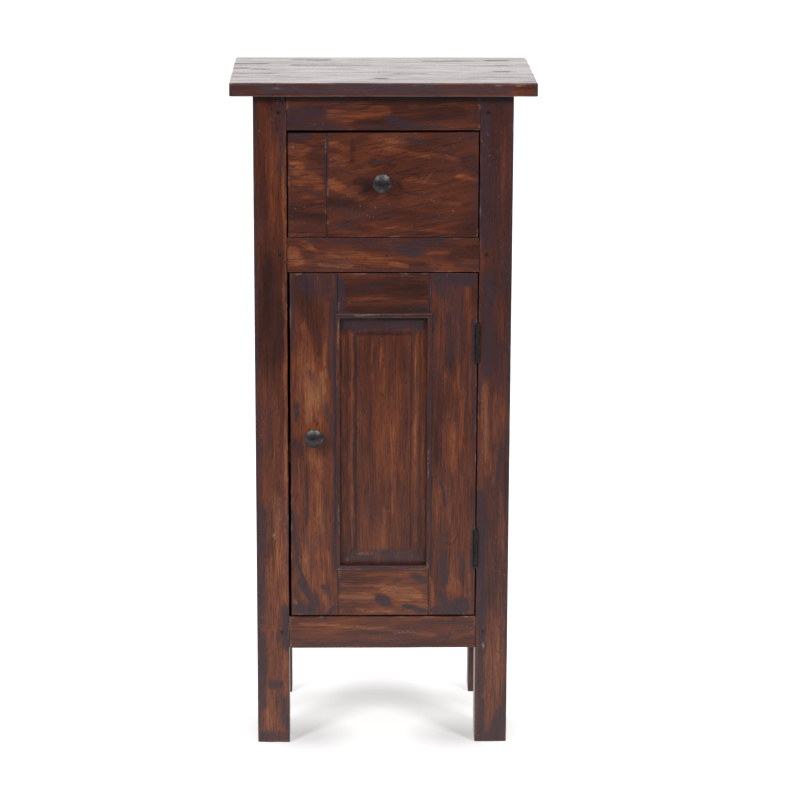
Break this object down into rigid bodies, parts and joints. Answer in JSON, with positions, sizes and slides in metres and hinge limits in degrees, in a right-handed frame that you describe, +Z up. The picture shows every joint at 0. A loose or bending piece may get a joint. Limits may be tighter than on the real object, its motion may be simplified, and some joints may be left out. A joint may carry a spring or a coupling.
{
  "type": "storage side table",
  "caption": "Tall narrow wooden side table with a dovetailed drawer over a cupboard, whose panelled door hangs on butt hinges and shuts against a magnetic catch.",
  "frame": {"origin": "on the floor, in the middle of the whole object's footprint", "axes": "+Z up, -Y towards the front with the drawer and the door, +X towards the hinge side"},
  "size_m": [0.402, 0.272, 0.915],
  "materials": {
    "stained_wood": "satin",
    "inner_wood": "bare, planed",
    "pewter": "antique pewter",
    "black_steel": "black",
    "steel": "zinc plated"
  },
  "bodies": {
    "cabinet": {"front_left_leg": "stained_wood", "front_right_leg": "stained_wood", "rear_left_leg": "stained_wood", "rear_right_leg": "stained_wood", "front_top_rail": "stained_wood", "front_mid_rail": "stained_wood", "front_bottom_rail": "stained_wood", "back_top_rail": "stained_wood", "back_bottom_rail": "stained_wood", "left_side_top_rail": "stained_wood", "left_side_bottom_rail": "stained_wood", "right_side_top_rail": "stained_wood", "right_side_bottom_rail": "stained_wood", "left_side_panel": "stained_wood", "right_side_panel": "stained_wood", "back_panel": "stained_wood", "joint_pegs": "stained_wood", "top_board_front": "stained_wood", "top_board_middle": "stained_wood", "top_board_rear": "stained_wood", "cupboard_floor": "inner_wood", "shelf": "inner_wood", "floor_cleats": "inner_wood", "shelf_cleats": "inner_wood", "drawer_runner_left": "inner_wood", "drawer_runner_right": "inner_wood", "drawer_kicker_left": "inner_wood", "drawer_kicker_right": "inner_wood", "drawer_stops": "inner_wood", "top_cleats": "inner_wood", "door_stop_block": "inner_wood", "top_screws": "steel", "hinge_pins": "steel", "hinge_screws_frame": "steel", "catch_magnet": "steel", "lower_hinge_frame_leaf": "black_steel", "upper_hinge_frame_leaf": "black_steel"},
    "drawer": {"drawer_front_left": "stained_wood", "drawer_front_right": "stained_wood", "drawer_side_left": "inner_wood", "drawer_side_right": "inner_wood", "drawer_back": "inner_wood", "drawer_bottom": "inner_wood", "drawer_knob": "pewter", "drawer_knob_bolt": "steel"},
    "door": {"door_stile_left": "stained_wood", "door_stile_right": "stained_wood", "door_rail_top": "stained_wood", "door_rail_bottom": "stained_wood", "door_panel": "stained_wood", "door_bead_left": "stained_wood", "door_bead_right": "stained_wood", "door_bead_bottom": "stained_wood", "door_bead_top": "stained_wood", "door_knob": "pewter", "lower_hinge_door_leaf": "black_steel", "upper_hinge_door_leaf": "black_steel", "door_knob_bolt": "steel", "hinge_screws_door": "steel", "catch_strike": "steel"}
  },
  "joints": [
    {"name": "drawer_slide", "type": "slide", "parent": "cabinet", "child": "drawer", "axis": [0, -1, 0], "range_m": [0, 0.15]},
    {"name": "door_hinge", "type": "hinge", "parent": "cabinet", "child": "door", "pos_m": [0.1264, -0.1132, 0.42175], "axis": [0, 0, 1], "range_deg": [0, 180]}
  ]
}
